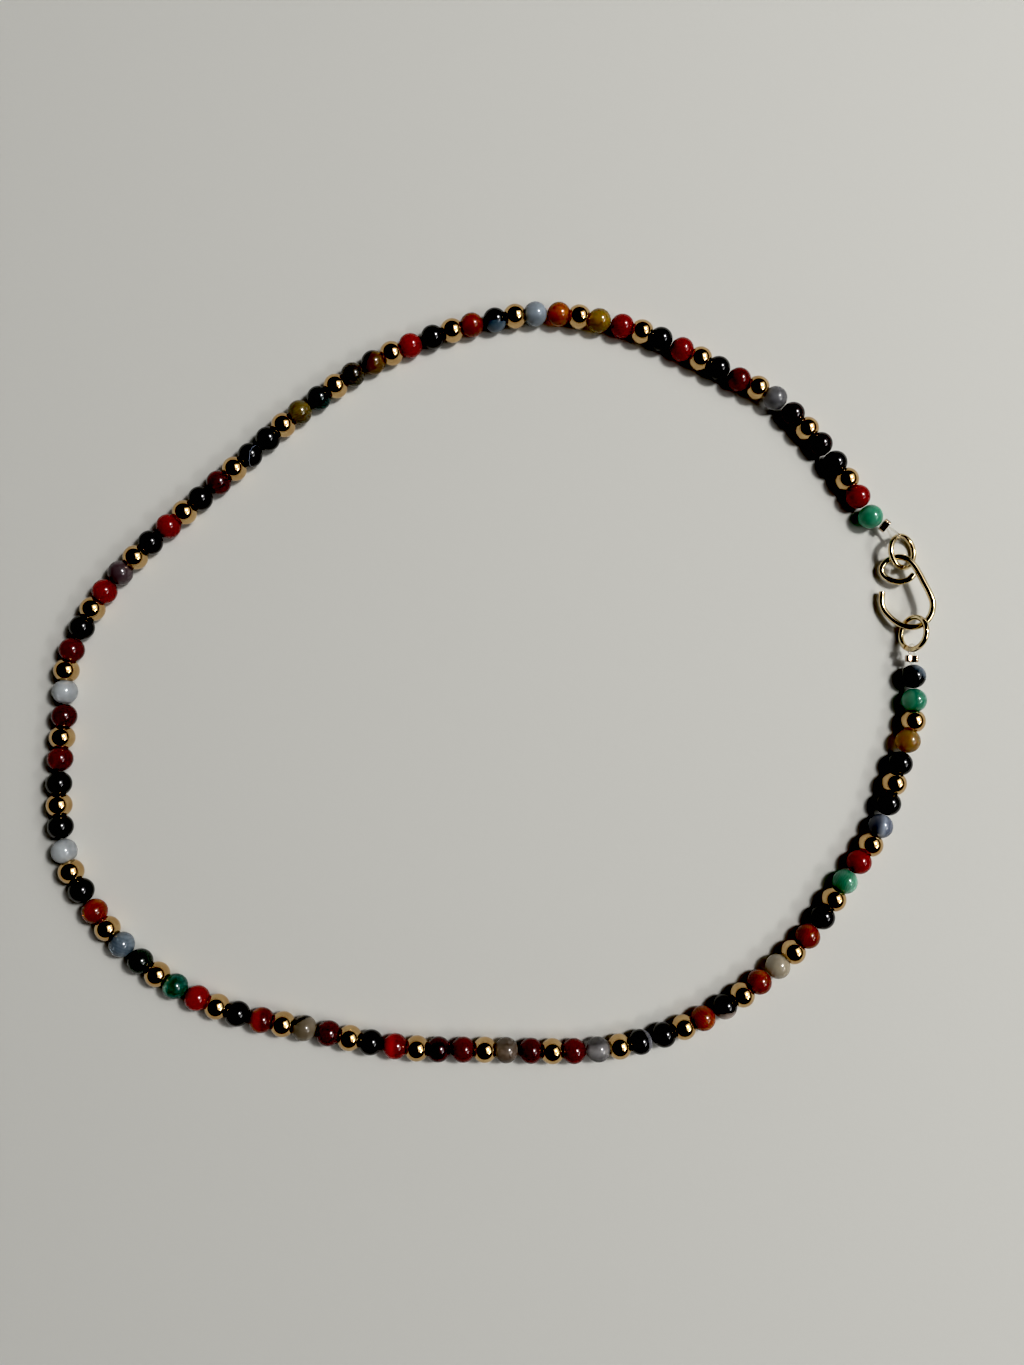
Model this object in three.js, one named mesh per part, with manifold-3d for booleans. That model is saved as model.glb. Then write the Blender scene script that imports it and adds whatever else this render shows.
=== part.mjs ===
// A short beaded necklace, fastened and lying flat. Small round agate beads come in pairs with one hollow
// gold-filled bead after each pair, all on one clear thread. Each thread end passes a flattened crimp tube,
// turns round a jump ring and comes back, and a hand-bent wire hook joins the two rings.
// Millimetres, +Z up, the surface it lies on is z = 0 and the origin is the middle of its outline.
import * as THREE from "three";
import { mergeVertices } from "three/addons/utils/BufferGeometryUtils.js";
import Module from "manifold-3d";

const wasm = await Module();
wasm.setup();

// ---------------------------------------------------------------- driving dimensions

const BEAD_RADIUS = 2.0; // stone beads and gold beads are both 4 mm round
const GOLD_HOLE_RADIUS = 1.0; // the wide holes that the neighbouring stones sit in
const GOLD_HALF_LENGTH = Math.sqrt(BEAD_RADIUS ** 2 - GOLD_HOLE_RADIUS ** 2);
const STONE_PITCH = 2 * BEAD_RADIUS; // stone touching stone
const GOLD_PITCH = 2 * GOLD_HALF_LENGTH; // stone seated on the rim of a gold bead's hole
const BEAD_COUNT = 107;
const GROUP = 3; // stone, stone, gold
const BEADS_PER_STRAND = 9;
const BORE_HEIGHT = BEAD_RADIUS; // the thread runs level through beads that rest on the surface

const THREAD_CORE_RADIUS = 0.45; // the bundle that joins the beads of one strand
const THREAD_RADIUS = 0.17;
const THREAD_END = 0.05; // how far the doubled thread shows past a crimp
const THREAD_PAIR_OFFSET = THREAD_RADIUS + 0.05; // its two passes lie side by side in the crimp
const CRIMP = { width: 2.1, height: 1.0, length: 1.05, slotWidth: 1.15, slotHeight: 0.6 };
const RING = { middleRadius: 2.7, wireRadius: 0.45, cutDegrees: 6 };
const HOOK_WIRE_RADIUS = 0.5;
const GAP = 0.25; // clearance between one strand and the next
const THREAD_CLEARANCE = 0.15; // between a ring's wire and the thread round it

const COLOURS = {
  agate: { color: 0x4a1512, roughness: 0.12, metalness: 0 },
  goldFilled: { color: 0xd9a441, roughness: 0.15, metalness: 1 },
  nylon: { color: 0xe6e4de, roughness: 0.25, metalness: 0 },
};

// The thread's way round, seen from above: from the first bead over the far side to the last bead, then
// through the clasp. Most points are about four beads apart.
const ROUTE = [
  { x: 62.9, y: 26.7 },
  { x: 59.0, y: 33.0 },
  { x: 54.6, y: 39.1 },
  { x: 47.2, y: 46.8 },
  { x: 40.7, y: 50.2 },
  { x: 34.0, y: 53.8 },
  { x: 23.8, y: 58.4 },
  { x: 9.8, y: 61.1 },
  { x: -1.2, y: 59.8 },
  { x: -11.6, y: 56.6 },
  { x: -22.2, y: 51.6 },
  { x: -34.2, y: 42.8 },
  { x: -42.0, y: 35.6 },
  { x: -50.3, y: 28.0 },
  { x: -58.2, y: 20.6 },
  { x: -65.2, y: 12.4 },
  { x: -69.9, y: 2.6 },
  { x: -70.5, y: -7.6 },
  { x: -71.0, y: -18.0 },
  { x: -70.0, y: -28.2 },
  { x: -67.0, y: -35.0 },
  { x: -60.6, y: -43.4 },
  { x: -51.6, y: -50.4 },
  { x: -41.6, y: -54.8 },
  { x: -30.6, y: -57.2 },
  { x: -15.6, y: -60.2 },
  { x: -0.6, y: -60.8 },
  { x: 14.6, y: -61.0 },
  { x: 25.2, y: -59.2 },
  { x: 35.6, y: -55.0 },
  { x: 44.3, y: -49.1 },
  { x: 51.5, y: -42.3 },
  { x: 56.8, y: -34.8 },
  { x: 63.0, y: -25.8 },
  { x: 66.6, y: -15.6 },
  { x: 69.2, y: -8.0 },
  { x: 69.5, y: -0.8 },
  { x: 69.4, y: 8.0 },
  { x: 67.4, y: 19.0 },
];

// The hook is one wire, seen from above: from its open tip round the big bend, up the long leg, round the
// small eye and back to the leg. It leans: its leg side lies higher than its tip side.
const HOOK = [
  { x: 64.95, y: 14.1 },
  { x: 64.8, y: 12.4 },
  { x: 65.1, y: 11.1 },
  { x: 65.75, y: 10.1 },
  { x: 66.6, y: 9.2 },
  { x: 67.75, y: 8.35 },
  { x: 69.1, y: 7.95 },
  { x: 70.4, y: 8.1 },
  { x: 71.6, y: 8.95 },
  { x: 72.35, y: 10.3 },
  { x: 72.55, y: 12.0 },
  { x: 72.05, y: 13.7 },
  { x: 71.35, y: 15.3 },
  { x: 70.65, y: 16.9 },
  { x: 69.95, y: 18.25 },
  { x: 69.0, y: 19.4 },
  { x: 67.6, y: 19.9 },
  { x: 66.1, y: 19.5 },
  { x: 65.1, y: 18.6 },
  { x: 64.9, y: 17.6 },
  { x: 65.3, y: 16.75 },
  { x: 66.2, y: 16.05 },
  { x: 67.3, y: 15.7 },
  { x: 68.4, y: 15.75 },
  { x: 69.2, y: 16.15 },
  { x: 69.85, y: 16.85 },
];
const HOOK_LOW = { x: 64.8, z: 1.0 };
const HOOK_RISE = 0.29; // mm of height for each mm along x

// Rings stand on edge, leaning about the strand's direction, one side on the surface.
// lean: degrees from flat, positive when the +X side is the high one. turn: degrees about Z.
// cut: where the ring's ends meet, in degrees round the ring from its +X side.
const UPPER_RING = { x: 68.3, y: 20.8, lean: -26.5, turn: 3, cut: 255 };
const LOWER_RING = { x: 69.3, y: 6.85, lean: 66, turn: -6, cut: 243 };

// Crimps: the middle of each, and the way its thread leaves for the ring, in degrees from +X.
// roll: how far its flat side leans about the thread, in degrees.
const UPPER_CRIMP = { x: 65.25, y: 25.2, z: 2.0, heading: -36, roll: 20 };
const LOWER_CRIMP = { x: 69.2, y: 2.62, z: 2.3, heading: 86, roll: -8 };
const UPPER_RING_HOLD = 117; // degrees round the ring where its thread loop sits
const LOWER_RING_HOLD = 270;

// ---------------------------------------------------------------- helpers

function radians(degrees) {
  return (degrees * Math.PI) / 180;
}

function material(look) {
  return new THREE.MeshStandardMaterial(look);
}

// A closed three.js geometry as a solid that can be joined.
function toSolid(geometry) {
  const bare = geometry.clone();
  bare.deleteAttribute("normal");
  bare.deleteAttribute("uv");
  const merged = mergeVertices(bare, 1e-4);
  const corners = merged.index.array;
  const triangles = [];
  for (let i = 0; i < corners.length; i += 3) {
    const [a, b, c] = [corners[i], corners[i + 1], corners[i + 2]];
    if (a !== b && b !== c && c !== a) triangles.push(a, b, c);
  }
  return new wasm.Manifold(
    new wasm.Mesh({
      numProp: 3,
      vertProperties: new Float32Array(merged.attributes.position.array),
      triVerts: new Uint32Array(triangles),
    }),
  );
}

function toGeometry(solid) {
  const mesh = solid.getMesh();
  const geometry = new THREE.BufferGeometry();
  geometry.setAttribute("position", new THREE.BufferAttribute(new Float32Array(mesh.vertProperties), 3));
  geometry.setIndex(new THREE.BufferAttribute(new Uint32Array(mesh.triVerts), 1));
  return geometry;
}

function joined(geometries) {
  return toGeometry(geometries.map(toSolid).reduce((whole, piece) => whole.add(piece)));
}

function regularSection(radius, sides) {
  const section = new THREE.Shape();
  for (let i = 0; i < sides; i += 1) {
    const angle = (2 * Math.PI * i) / sides;
    const [x, y] = [radius * Math.cos(angle), radius * Math.sin(angle)];
    if (i === 0) section.moveTo(x, y);
    else section.lineTo(x, y);
  }
  section.closePath();
  return section;
}

// Round wire along a path, with flat-cut ends.
function wire(path, radius, sides, steps) {
  return new THREE.ExtrudeGeometry(regularSection(radius, sides), { steps, extrudePath: path });
}

function add(group, name, geometry, look) {
  const mesh = new THREE.Mesh(geometry, material(look));
  mesh.name = name;
  group.add(mesh);
  return mesh;
}

// ---------------------------------------------------------------- the string of beads

const route = new THREE.CatmullRomCurve3(
  ROUTE.map((p) => new THREE.Vector3(p.x, p.y, BORE_HEIGHT)),
  true,
  "catmullrom",
  0.5,
);
route.arcLengthDivisions = 4000;
const ROUTE_LENGTH = route.getLength();

function isGold(number) {
  return number % GROUP === 0;
}

// Each bead's distance along the thread: pairs of stones touch, and a gold bead takes its neighbours
// into its holes.
function beadPlaces() {
  const places = [0];
  for (let number = 2; number <= BEAD_COUNT; number += 1) {
    const beside = isGold(number) || isGold(number - 1);
    places.push(places[places.length - 1] + (beside ? GOLD_PITCH : STONE_PITCH));
  }
  return places;
}

const PLACES = beadPlaces();

function onRoute(distance) {
  return route.getPointAt(distance / ROUTE_LENGTH);
}

function headingAt(distance) {
  const direction = route.getTangentAt(distance / ROUTE_LENGTH);
  return Math.atan2(direction.y, direction.x);
}

// A faceted ball that stands on a small flat, as it rests on the surface.
const FACET_RADIUS = BEAD_RADIUS * 1.03; // facets lie inside their corners, so the corners stand out a little
const BALL_SIDES = 8;
const STONE_CLEAR = GOLD_PITCH - FACET_RADIUS - GAP; // how far along a strand's last gold bead may reach

function stoneBead(number) {
  const shoulder = radians(40);
  const flat = Math.sqrt(FACET_RADIUS ** 2 - BEAD_RADIUS ** 2);
  const profile = [
    new THREE.Vector2(0, -BEAD_RADIUS),
    new THREE.Vector2(flat, -BEAD_RADIUS),
    new THREE.Vector2(FACET_RADIUS * Math.cos(shoulder), -FACET_RADIUS * Math.sin(shoulder)),
    new THREE.Vector2(FACET_RADIUS, 0),
    new THREE.Vector2(FACET_RADIUS * Math.cos(shoulder), FACET_RADIUS * Math.sin(shoulder)),
    new THREE.Vector2(flat, BEAD_RADIUS),
    new THREE.Vector2(0, BEAD_RADIUS),
  ];
  const ball = new THREE.LatheGeometry(profile, BALL_SIDES);
  ball.rotateX(Math.PI / 2);
  ball.rotateZ(headingAt(PLACES[number - 1]));
  return moved(ball, onRoute(PLACES[number - 1]));
}

// A gold bead is a round bead cut off flat where its holes are. At a strand's end it is cut shorter, so that
// the next strand's stone stays clear of it.
function goldBead(number, endsStrand) {
  const far = endsStrand ? STONE_CLEAR : GOLD_HALF_LENGTH;
  const across = (along) => Math.sqrt(BEAD_RADIUS ** 2 - along ** 2);
  const profile = [new THREE.Vector2(0, -GOLD_HALF_LENGTH)];
  for (const along of [-GOLD_HALF_LENGTH, -BEAD_RADIUS / 2, 0, far * 0.6, far]) {
    profile.push(new THREE.Vector2(across(along), along));
  }
  profile.push(new THREE.Vector2(0, far));
  const barrel = new THREE.LatheGeometry(profile, BALL_SIDES);
  barrel.rotateZ(-Math.PI / 2);
  barrel.rotateZ(headingAt(PLACES[number - 1]));
  return moved(barrel, onRoute(PLACES[number - 1]));
}

function moved(geometry, place) {
  return geometry.translate(place.x, place.y, place.z);
}

function strandCore(first, last) {
  const points = [];
  for (let number = first; number <= last; number += 1) points.push(onRoute(PLACES[number - 1]));
  const path = new THREE.CatmullRomCurve3(points);
  return wire(path, THREAD_CORE_RADIUS, 5, points.length - 1);
}

function addStrands(group) {
  let strand = 1;
  for (let first = 1; first <= BEAD_COUNT; first += BEADS_PER_STRAND) {
    const last = Math.min(first + BEADS_PER_STRAND - 1, BEAD_COUNT);
    const pieces = [strandCore(first, last)];
    for (let number = first; number <= last; number += 1) {
      pieces.push(isGold(number) ? goldBead(number, number === last) : stoneBead(number));
    }
    add(group, `strand_${String(strand).padStart(2, "0")}`, joined(pieces), COLOURS.agate);
    strand += 1;
  }
}

// ---------------------------------------------------------------- rings

// Where a ring's wire is at an angle round it, on its leaning plane. The lower side rests on the surface.
function ringFrame(ring) {
  const lean = radians(ring.lean);
  const z = RING.wireRadius + RING.middleRadius * Math.abs(Math.sin(lean));
  const turn = new THREE.Matrix4().makeRotationZ(radians(ring.turn));
  const tilt = new THREE.Matrix4().makeRotationY(-lean);
  return new THREE.Matrix4().makeTranslation(ring.x, ring.y, z).multiply(turn).multiply(tilt);
}

function ringPoint(ring, degrees) {
  const angle = radians(degrees);
  const flat = new THREE.Vector3(RING.middleRadius * Math.cos(angle), RING.middleRadius * Math.sin(angle), 0);
  return flat.applyMatrix4(ringFrame(ring));
}

class RingPath extends THREE.Curve {
  constructor(ring) {
    super();
    this.ring = ring;
  }

  getPoint(t, target = new THREE.Vector3()) {
    const open = RING.cutDegrees;
    return target.copy(ringPoint(this.ring, this.ring.cut + open / 2 + t * (360 - open)));
  }
}

function addRings(group) {
  for (const [name, ring] of [["upper_jump_ring", UPPER_RING], ["lower_jump_ring", LOWER_RING]]) {
    add(group, name, wire(new RingPath(ring), RING.wireRadius, 8, 30), COLOURS.goldFilled);
  }
}

// ---------------------------------------------------------------- hook

function addHook(group) {
  const height = (x) => HOOK_LOW.z + HOOK_RISE * (x - HOOK_LOW.x);
  const path = new THREE.CatmullRomCurve3(HOOK.map((p) => new THREE.Vector3(p.x, p.y, height(p.x))));
  add(group, "hook_clasp", wire(path, HOOK_WIRE_RADIUS, 8, 56), COLOURS.goldFilled);
}

// ---------------------------------------------------------------- crimps and thread ends

// A short tube pressed flat, its slot running along the thread.
function crimpGeometry(crimp) {
  const stadium = (width, height, Kind) => {
    const round = height / 2;
    const reach = width / 2 - round;
    const outline = new Kind();
    outline.absarc(reach, 0, round, -Math.PI / 2, Math.PI / 2, false);
    outline.absarc(-reach, 0, round, Math.PI / 2, (3 * Math.PI) / 2, false);
    outline.closePath();
    return outline;
  };
  const section = stadium(CRIMP.width, CRIMP.height, THREE.Shape);
  section.holes.push(stadium(CRIMP.slotWidth, CRIMP.slotHeight, THREE.Path));
  const tube = new THREE.ExtrudeGeometry(section, {
    depth: CRIMP.length,
    bevelEnabled: false,
    curveSegments: 4,
  });
  tube.translate(0, 0, -CRIMP.length / 2);
  tube.rotateX(Math.PI / 2); // length along Y, width along X
  tube.rotateY(radians(crimp.roll));
  tube.rotateZ(radians(crimp.heading) - Math.PI / 2);
  return moved(tube, crimp);
}

// The thread comes through the crimp, goes round the ring's wire and back through the crimp beside itself.
function threadLoopPath(crimp, ring, hold) {
  const heading = radians(crimp.heading);
  const forward = new THREE.Vector3(Math.cos(heading), Math.sin(heading), 0);
  const roll = radians(crimp.roll);
  const level = new THREE.Vector3(-forward.y, forward.x, 0);
  const beside = level.multiplyScalar(Math.cos(roll)).setZ(Math.sin(roll));
  const middle = new THREE.Vector3(crimp.x, crimp.y, crimp.z);
  const seat = ringPoint(ring, hold);
  const wireWay = ringPoint(ring, hold + 1).sub(ringPoint(ring, hold - 1)).normalize();
  const pull = seat.clone().sub(middle);
  pull.addScaledVector(wireWay, -pull.dot(wireWay)).normalize();
  const round = new THREE.Vector3().crossVectors(wireWay, pull).normalize();
  if (round.dot(beside) < 0) round.negate();
  const turnRadius = RING.wireRadius + THREAD_RADIUS + THREAD_CLEARANCE;
  const exit = CRIMP.length / 2 + THREAD_END;
  const inCrimp = (along, sign) =>
    middle.clone().addScaledVector(forward, along).addScaledVector(beside, sign * THREAD_PAIR_OFFSET);
  const side = (sign) => [
    inCrimp(-exit, sign),
    inCrimp(0, sign),
    inCrimp(exit, sign),
    seat.clone().addScaledVector(pull, -0.1).addScaledVector(round, sign * turnRadius),
  ];
  const bend = [45, 90, 135].map((degrees) =>
    seat
      .clone()
      .addScaledVector(round, turnRadius * Math.cos(radians(degrees)))
      .addScaledVector(pull, turnRadius * Math.sin(radians(degrees))),
  );
  return new THREE.CatmullRomCurve3([...side(1), ...bend, ...side(-1).reverse()]);
}

function addThreadEnds(group) {
  const ends = [
    ["upper", UPPER_CRIMP, UPPER_RING, UPPER_RING_HOLD],
    ["lower", LOWER_CRIMP, LOWER_RING, LOWER_RING_HOLD],
  ];
  for (const [name, crimp, ring, hold] of ends) {
    add(group, `${name}_crimp`, crimpGeometry(crimp), COLOURS.goldFilled);
    const loop = wire(threadLoopPath(crimp, ring, hold), THREAD_RADIUS, 6, 32);
    add(group, `${name}_thread_loop`, loop, COLOURS.nylon);
  }
}

// ---------------------------------------------------------------- the whole necklace

const necklace = new THREE.Group();
addStrands(necklace);
addThreadEnds(necklace);
addRings(necklace);
addHook(necklace);

export default necklace;
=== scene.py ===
# %% [markdown]
# # A beaded necklace, lying closed on a table
#
# The real object is a short necklace. Small round agate beads come in pairs, with one hollow gold-filled bead
# after each pair, all on one clear line. Each end of the line is closed with a pressed crimp tube and holds
# a jump ring, and a hook bent from round wire joins the two rings.
#
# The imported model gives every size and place. It's the fixed frame, so it is opened first, and its box is
# kept so that the finished model can be compared with it.

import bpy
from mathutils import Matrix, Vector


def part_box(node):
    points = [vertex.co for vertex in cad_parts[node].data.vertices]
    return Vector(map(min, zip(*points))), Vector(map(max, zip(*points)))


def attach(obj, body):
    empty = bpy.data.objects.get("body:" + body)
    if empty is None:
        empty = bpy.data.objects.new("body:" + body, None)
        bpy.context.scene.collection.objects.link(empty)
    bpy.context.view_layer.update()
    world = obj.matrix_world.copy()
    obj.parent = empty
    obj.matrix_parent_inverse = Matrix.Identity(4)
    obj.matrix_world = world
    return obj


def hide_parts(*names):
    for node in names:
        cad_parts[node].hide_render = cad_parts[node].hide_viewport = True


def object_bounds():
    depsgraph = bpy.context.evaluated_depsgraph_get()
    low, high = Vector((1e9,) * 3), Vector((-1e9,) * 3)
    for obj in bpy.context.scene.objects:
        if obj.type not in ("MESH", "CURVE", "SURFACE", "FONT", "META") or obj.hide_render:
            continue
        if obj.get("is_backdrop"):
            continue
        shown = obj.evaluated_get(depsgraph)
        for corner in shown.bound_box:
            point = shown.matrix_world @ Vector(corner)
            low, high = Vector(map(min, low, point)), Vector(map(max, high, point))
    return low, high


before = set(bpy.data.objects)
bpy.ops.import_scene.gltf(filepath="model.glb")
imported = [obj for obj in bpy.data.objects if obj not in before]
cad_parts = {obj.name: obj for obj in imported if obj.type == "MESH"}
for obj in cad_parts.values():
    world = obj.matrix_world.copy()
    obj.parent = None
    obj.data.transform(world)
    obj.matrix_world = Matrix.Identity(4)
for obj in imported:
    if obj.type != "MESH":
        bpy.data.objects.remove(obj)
cad_box = [list(corner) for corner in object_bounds()]
print("frame nodes:", len(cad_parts))

# %% [markdown]
# ## Units and colours
#
# Jewellery is measured in millimetres and Blender works in metres, so lengths are written in millimetres and
# become metres only where a mesh is made. Colours are written as the hex values that a paint chart would
# give. The renderer wants linear light, so one function turns them.

# %% Units and colours
import math

import bmesh
import bpy
import numpy as np
from mathutils import Matrix, Vector

MM = 0.001


def linear(hex_colour):
    """An sRGB hex colour as linear red, green, blue and full alpha."""
    parts = [int(hex_colour[i : i + 2], 16) / 255 for i in (1, 3, 5)]
    return [p / 12.92 if p <= 0.04045 else ((p + 0.055) / 1.055) ** 2.4 for p in parts] + [1.0]


print("one millimetre is", MM, "metres, and middle grey is", round(linear("#808080")[0], 3))

# %% [markdown]
# A material is a small net of nodes. One function adds a node, sets it and links its inputs, so that each
# finish below reads as a list of what it's made of. Another makes a mesh from points and faces, gives it its
# finishes and turns every face outward. Blender's own shapes could be edited by hand, but a piece made from
# points is exactly as large as it's said to be.

# %% Nodes
def add_node(tree, kind, links=None, inputs=None, **settings):
    """Adds one node. links maps its input sockets to other nodes' outputs, inputs gives plain values."""
    made = tree.nodes.new(kind)
    for name, value in settings.items():
        setattr(made, name, value)
    for socket, value in (inputs or {}).items():
        made.inputs[socket].default_value = value
    for socket, source in (links or {}).items():
        tree.links.new(source, made.inputs[socket])
    return made


def new_material(name):
    """An empty node material, its tree of nodes and the socket that its shader goes to."""
    material = bpy.data.materials.new(name)
    material.use_nodes = True
    tree = material.node_tree
    tree.nodes.clear()
    return material, tree, add_node(tree, "ShaderNodeOutputMaterial").inputs["Surface"]


print("materials so far:", len(bpy.data.materials))

# %% Meshes
def new_piece(name, points_mm, faces, materials, face_material=None, smooth=True):
    """A mesh object from points in millimetres, in the frame's own place."""
    mesh = bpy.data.meshes.new(name)
    mesh.from_pydata([tuple(p) for p in np.asarray(points_mm) * MM], [], [tuple(f) for f in faces])
    for material in materials:
        mesh.materials.append(material)
    if face_material is not None:
        mesh.polygons.foreach_set("material_index", face_material)
    mesh.polygons.foreach_set("use_smooth", [smooth] * len(mesh.polygons))
    skin = bmesh.new()
    skin.from_mesh(mesh)
    bmesh.ops.recalc_face_normals(skin, faces=skin.faces)
    skin.to_mesh(mesh)
    skin.free()
    made = bpy.data.objects.new(name, mesh)
    bpy.context.scene.collection.objects.link(made)
    return made


# %% [markdown]
# ## The way the line runs
#
# All beads sit on one line, so the line comes first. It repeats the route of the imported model: points in
# millimetres, about three beads apart, joined by a smooth closed curve. A bead's place is its distance along
# that curve. Two stones touch at 4 mm, and a stone beside a gold bead sits in the gold bead's wide hole,
# so those two are 3.46 mm apart.
#
# A curve object could carry the beads with a modifier. Working out each place in numbers is just as short
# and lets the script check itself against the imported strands.

# %% Bead sizes
BEAD_RADIUS = 2.0
GOLD_HOLE_RADIUS = 1.0
GOLD_HALF_LENGTH = math.sqrt(BEAD_RADIUS**2 - GOLD_HOLE_RADIUS**2)
STONE_PITCH = 2 * BEAD_RADIUS
GOLD_PITCH = 2 * GOLD_HALF_LENGTH
BEAD_COUNT = 107
GROUP = 3
BEADS_PER_STRAND = 9
print("a stone takes up mm:", STONE_PITCH, "and a gold bead:", round(GOLD_PITCH, 2))

# %% The route
ROUTE_SAMPLES = 4001
ROUTE = np.array([
    (62.9, 26.7), (59.0, 33.0), (54.6, 39.1), (47.2, 46.8), (40.7, 50.2), (34.0, 53.8), (23.8, 58.4),
    (9.8, 61.1), (-1.2, 59.8), (-11.6, 56.6), (-22.2, 51.6), (-34.2, 42.8), (-42.0, 35.6), (-50.3, 28.0),
    (-58.2, 20.6), (-65.2, 12.4), (-69.9, 2.6), (-70.5, -7.6), (-71.0, -18.0), (-70.0, -28.2),
    (-67.0, -35.0), (-60.6, -43.4), (-51.6, -50.4), (-41.6, -54.8), (-30.6, -57.2), (-15.6, -60.2),
    (-0.6, -60.8), (14.6, -61.0), (25.2, -59.2), (35.6, -55.0), (44.3, -49.1), (51.5, -42.3),
    (56.8, -34.8), (63.0, -25.8), (66.6, -15.6), (69.2, -8.0), (69.5, -0.8), (69.4, 8.0), (67.4, 19.0),
])  # fmt: skip


def smooth_through(points, t, closed, spacing=0.0):
    """Points on a Catmull-Rom curve through the given points, at t from 0 to 1. spacing 0 treats all gaps
    alike, and 0.5 keeps a tight bend from bulging beside a long gap."""
    points = np.asarray(points, float)
    count = len(points)
    along = np.asarray(t) * (count if closed else count - 1)
    start = np.floor(along).astype(int)
    if closed:
        before, here, after, beyond = (points[(start + k) % count] for k in (-1, 0, 1, 2))
    else:
        start = np.clip(start, 0, count - 2)
        longer = np.vstack([2 * points[0] - points[1], points, 2 * points[-1] - points[-2]])
        before, here, after, beyond = (longer[start + k] for k in range(4))
    spans = ((before, here), (here, after), (after, beyond))
    gap_before, gap, gap_after = ((np.linalg.norm(b - a, axis=1) ** spacing)[:, None] for a, b in spans)
    leave = (here - before) / gap_before - (after - before) / (gap_before + gap) + (after - here) / gap
    arrive = (after - here) / gap - (beyond - here) / (gap + gap_after) + (beyond - after) / gap_after
    leave, arrive = leave * gap, arrive * gap
    w = (along - start)[:, None]
    square = -3 * here + 3 * after - 2 * leave - arrive
    cube = 2 * here - 2 * after + leave + arrive
    return here + leave * w + square * w**2 + cube * w**3


def run_along(path):
    """How far along a path each of its points lies."""
    return np.concatenate([[0], np.cumsum(np.linalg.norm(np.diff(path, axis=0), axis=1))])


route_t = np.linspace(0, 1, ROUTE_SAMPLES)
route_run = run_along(smooth_through(ROUTE, route_t, closed=True))
print("once round the curve mm:", round(float(route_run[-1]), 1))

# %% Bead places
HEADING_REACH = 0.05


def on_route(distance_mm):
    """The line's place in x and y at a distance along it."""
    t = np.interp(np.atleast_1d(distance_mm), route_run, route_t)
    return smooth_through(ROUTE, np.mod(t, 1.0), closed=True)


def is_gold(number):
    return number % GROUP == 0


places = [0.0]
for number in range(2, BEAD_COUNT + 1):
    beside_gold = is_gold(number) or is_gold(number - 1)
    places.append(places[-1] + (GOLD_PITCH if beside_gold else STONE_PITCH))
places = np.array(places)
bead_xy = on_route(places)
ahead, behind = on_route(places + HEADING_REACH), on_route(np.maximum(places - HEADING_REACH, 0))
bead_heading = np.degrees(np.arctan2(*(ahead - behind).T[::-1]))
print("strung length mm:", round(places[-1] + 2 * BEAD_RADIUS, 1))

# %% [markdown]
# ## Turning a bead on its own axis
#
# Both kinds of bead are round about the line that runs through them, so each is a closed outline turned
# about that line, as on a lathe. A closed outline gives a ring-shaped skin with a real hole through it, and
# the renderer can then bend light through a stone and show the bore inside it. A ball with a hole cut through
# it would do that too, but the cut leaves thin uneven faces round the hole.
#
# A stone's outline is an arc, a small worn edge at the drilled hole and the straight bore. A gold bead is
# a thin shell: an outer arc, a rolled edge round the wide hole and the inner arc back.

# %% A stone's outline
STONE_BORE_RADIUS, BORE_EDGE = 0.42, 0.10
EDGE_MIDDLE_ALONG, EDGE_MIDDLE_IN = 0.03, 0.06
SKIN_STEPS = 31


def arc(radius, from_degrees, to_degrees, count, centre=(0.0, 0.0)):
    """Points (along the line, away from the line) on an arc."""
    angles = np.radians(np.linspace(from_degrees, to_degrees, count))
    return [(centre[0] + radius * math.cos(a), centre[1] + radius * math.sin(a)) for a in angles]


def stone_outline():
    edge_angle = math.degrees(math.asin((STONE_BORE_RADIUS + BORE_EDGE) / BEAD_RADIUS))
    skin = arc(BEAD_RADIUS, edge_angle, 180 - edge_angle, SKIN_STEPS)
    along, away = skin[0]
    mouth = along - BORE_EDGE
    rounding = [(along - EDGE_MIDDLE_ALONG, away - EDGE_MIDDLE_IN), (mouth, STONE_BORE_RADIUS)]
    left = [(-x, r) for x, r in rounding]
    bore = [(mouth * k, STONE_BORE_RADIUS) for k in (-0.5, 0.0, 0.5)]
    return skin + left + bore + rounding[::-1]


print("a stone's bore is mm wide:", 2 * STONE_BORE_RADIUS)

# %% A gold bead's outline
GOLD_WALL = 0.22
GOLD_INNER_STEPS, ROLL_STEPS = 17, 7


def gold_outline():
    roll = GOLD_WALL / 2
    middle = BEAD_RADIUS - roll
    rim_angle = math.degrees(math.asin((GOLD_HOLE_RADIUS + roll) / middle))
    outer = arc(BEAD_RADIUS, rim_angle, 180 - rim_angle, SKIN_STEPS)
    inner = arc(BEAD_RADIUS - GOLD_WALL, 180 - rim_angle, rim_angle, GOLD_INNER_STEPS)
    rim = arc(middle, rim_angle, rim_angle, 1)[0]
    left = arc(roll, 180 - rim_angle, 360 - rim_angle, ROLL_STEPS, (-rim[0], rim[1]))[1:-1]
    right = arc(roll, 180 + rim_angle, 360 + rim_angle, ROLL_STEPS, rim)[1:-1]
    return outer + left + inner + right


print("a gold bead's wall is mm thick:", GOLD_WALL, "and its hole mm wide:", 2 * GOLD_HOLE_RADIUS)

# %% Turning an outline
def grid_faces(rows, columns, closed=True):
    """Four-cornered faces over rows of points that run round. closed joins the last row to the first."""
    row, column = np.meshgrid(np.arange(rows if closed else rows - 1), np.arange(columns), indexing="ij")
    next_row, next_column = (row + 1) % rows, (column + 1) % columns
    corners = (row * columns + column, row * columns + next_column,
               next_row * columns + next_column, next_row * columns + column)
    return np.stack(corners, -1).reshape(-1, 4)


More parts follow.
